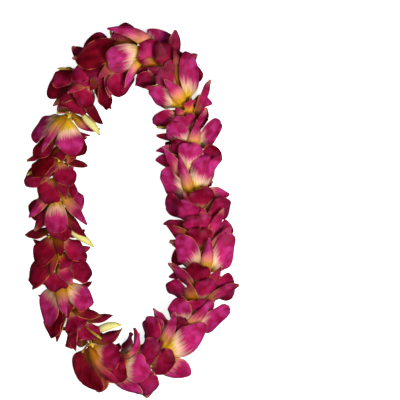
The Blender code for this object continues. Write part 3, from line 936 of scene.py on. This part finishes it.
def flower(number, station, others):
    """One bloom: hub, three sepals, two petals, lip, column, spur, stalk and the shreds of its throat."""
    bloom = Bloom(number, station)
    fine = random.Random(number)
    look = OPEN_LOOK if number in OPEN_BLOOMS else OTHER_LOOK
    middle_x = np.interp(station, RUN, POINTS[:, 0])
    pink = PINK_MIDDLE + middle_x / PINK_WIDTH + fine.uniform(-PINK_DRAW, PINK_DRAW) + look["pinker"]

    def tinted(piece, golden=0):
        light = fine.uniform(*look["light"])
        own = PINK_SHARE * pink + PINK_BY_LIGHT * (light - PLAIN_LIGHT) + fine.uniform(-PART_DRAW, PART_DRAW)
        own = float(np.clip(own + look["parts_pinker"], 0, 1))
        bare = fine.uniform(*look["bare"])
        if fine.random() < golden:
            bare *= GOLDEN_BARE
            own *= GOLDEN_PINK
        return marked(piece, magenta=own, seed=fine.uniform(0, SEED_REACH), light=light, bare=bare)

    ring = bloom.place(ring_points(HUB_RINGS[1][1], -HUB_RINGS[0][0] * RING_SHARE))
    pieces = [tinted(copied(BLANKS["hub"], ring))]
    golden = look["golden"][int(middle_x > 0)]
    for blank, points in bent_blades(bloom, number, others):
        pieces.append(tinted(copied(blank, points), golden if blank.name != "petal" else 0))
    stalk = STALK if number in WHOLE_STALKS else SHORT_STALK
    for kind, rod in (("column", COLUMN), ("chin", CHIN), ("stalk", stalk)):
        start = (ROD_ROOT * HUB_RINGS[1][1], band_middle(rod["band"], 0), ROD_ROOT_THICKNESS)
        path = [(r * bloom.size, w * bloom.size, t) for r, w, t in rod["path"]]
        path = [(r, w, t, t) for r, w, t in [start] + path]
        pieces.append(tinted(bent_rod(BLANKS[kind], path, bloom.azimuth(rod["side"]), bloom.place)))

    # Shreds of the throat, torn by the needle that threads the lei
    for shred in range(SHREDS):
        azimuth = bloom.azimuth(shred % HUB_SIDES + 0.5) + fine.uniform(-SHRED_STRAY, SHRED_STRAY)
        pieces.append(tinted(bent_rod(BLANKS["shred"], shred_path(fine), azimuth, bloom.place)))
    whole = joined(f"flower_{number:02d}", pieces)
    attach(whole, "root")
    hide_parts(f"bloom_{number:02d}")


def horn(number, station, others):
    """One unopened bud on its ring."""
    place = partial(to_world, station=station)
    ring = copied(BLANKS["hub"], place(ring_points(BUD_RING_RADIUS, BUD_RING_DEPTH)))
    horn_part = bent_rod(BLANKS["bud"], BUD_HORN, math.radians(BUD_AZIMUTH), place)
    others.append(search_tree([(horn_part, np.transpose(flat_points(horn_part)))]))
    whole = joined(f"horn_bud_{number}", [ring, horn_part])
    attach(whole, "root")
    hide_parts(f"bud_{number}")


# The string is a little thinner than the frame's, so that its rounded sides stay inside it
STRING_SHARE = 0.95
STRING_STEPS = 360

# The knot: turns round the string, with steps in each, their radius and how far apart its ends are. Then the
# azimuths of its two tails, and their path: radius from the string and place along it.
KNOT_TURNS, KNOT_STEPS = 3, 16
KNOT_RADIUS = 0.0011
KNOT_LENGTH = 0.0032
TAIL_AZIMUTHS = (60, 235)
TAIL = ((0.0010, 0.0), (0.0050, 0.0016), (0.0110, 0.0052))
TAIL_STEPS = 12


def add_line(curve, spots, closed=False):
    """Adds a line through the spots to a curve."""
    line = curve.splines.new("POLY")
    line.points.add(len(spots) - 1)
    for point, spot in zip(line.points, spots):
        point.co = (*spot, 1)
    line.use_cyclic_u = closed


def string():
    """The cotton string with its knot and two tails."""
    curve = bpy.data.curves.new("string", "CURVE")
    curve.dimensions = "3D"
    curve.bevel_depth = THREAD_RADIUS * STRING_SHARE
    curve.bevel_resolution = 2
    curve.use_fill_caps = True
    loop = [(0, 0, LENGTH * k / STRING_STEPS) for k in range(STRING_STEPS)]
    add_line(curve, to_world(loop, 0), closed=True)
    for azimuth in TAIL_AZIMUTHS:
        path = along_path(TAIL, np.linspace(0, 1, TAIL_STEPS))
        add_line(curve, to_world(around(path[:, 0], math.radians(azimuth), 0, path[:, 1]), 0))
    last = KNOT_TURNS * KNOT_STEPS
    turns = []
    for k in range(last + 1):
        angle = 2 * math.pi * k / KNOT_STEPS
        w = KNOT_LENGTH * k / last - KNOT_LENGTH / 2
        turns.append((KNOT_RADIUS * math.cos(angle), KNOT_RADIUS * math.sin(angle), w))
    add_line(curve, to_world(turns, 0))
    whole = bpy.data.objects.new("cotton_string", curve)
    bpy.context.scene.collection.objects.link(whole)
    whole.data.materials.append(COTTON)
    bpy.context.view_layer.objects.active = whole
    whole.select_set(True)
    bpy.ops.object.convert(target="MESH")
    bpy.ops.object.shade_smooth()
    whole.select_set(False)
    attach(whole, "root")
    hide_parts("thread")


# Stage, light and camera

# The photo: pixels along its side, the size of one, and where its middle lies in the frame
PHOTO_SIDE = 400
MILLIMETRES_PER_PIXEL = 1.25
PHOTO_MIDDLE = (0.0860, 0.0120)

# A long lens, which shows the lei nearly without perspective. The picture is as wide as the photo at this
# height, the middle of the strand.
LENS, SENSOR = 200, 36
STRAND_MIDDLE = 0.025

# A strong, smaller key at the right and a broad, weak fill at the left: place, size and power
LAMPS = {
    "key": ((0.75, -0.25, 1.35), 0.7, 31),
    "fill": ((-0.6, -0.1, 1.5), 1.2, 9),
}

# The sweep glows up to the photo's white, so it shows hardly any shadow, and the room adds a little light
SWEEP_GLOW = 0.75
ROOM_LIGHT = 0.08


def stage():
    """A white sweep, two large soft lights above and a camera that looks straight down."""
    bpy.ops.mesh.primitive_plane_add(size=6)
    floor = bpy.context.object
    floor.name = "white_sweep"
    made, _, shader = material("matt white sweep", 0.9, Specular_IOR_Level=0.2)
    shader.inputs["Base Color"].default_value = srgb("#F4F4F4")
    shader.inputs["Emission Color"].default_value = (1, 1, 1, 1)
    shader.inputs["Emission Strength"].default_value = SWEEP_GLOW
    floor.data.materials.append(made)

    # It sends no light back up to the lei
    floor.visible_diffuse = False
    floor.visible_glossy = False
    world = bpy.data.worlds.new("studio")
    world.use_nodes = True
    background = world.node_tree.nodes["Background"]
    background.inputs["Color"].default_value = (1, 1, 1, 1)
    background.inputs["Strength"].default_value = ROOM_LIGHT
    bpy.context.scene.world = world
    for name, (place, size, power) in LAMPS.items():
        bpy.ops.object.light_add(type="AREA", location=place)
        lamp = bpy.context.object
        lamp.name = name
        lamp.data.size = size
        lamp.data.energy = power
        lamp.rotation_euler = (-lamp.location).to_track_quat("-Z", "Y").to_euler()
    width = PHOTO_SIDE * MILLIMETRES_PER_PIXEL / 1000
    height = width * LENS / SENSOR + STRAND_MIDDLE
    bpy.ops.object.camera_add(location=(*PHOTO_MIDDLE, height), rotation=(0, 0, 0))
    camera = bpy.context.object
    camera.data.lens = LENS
    camera.data.sensor_width = SENSOR
    camera.data.clip_end = 50
    bpy.context.scene.camera = camera
    bpy.context.scene.view_settings.view_transform = "Standard"


stage()
bloom_stations, bud_stations = stations()
trees = []
for number, station in enumerate(bud_stations, 1):
    horn(number, station, trees)
for number, station in enumerate(bloom_stations, 1):
    flower(number, station, trees)
string()
for blank in BLANKS.values():
    bpy.data.objects.remove(blank)
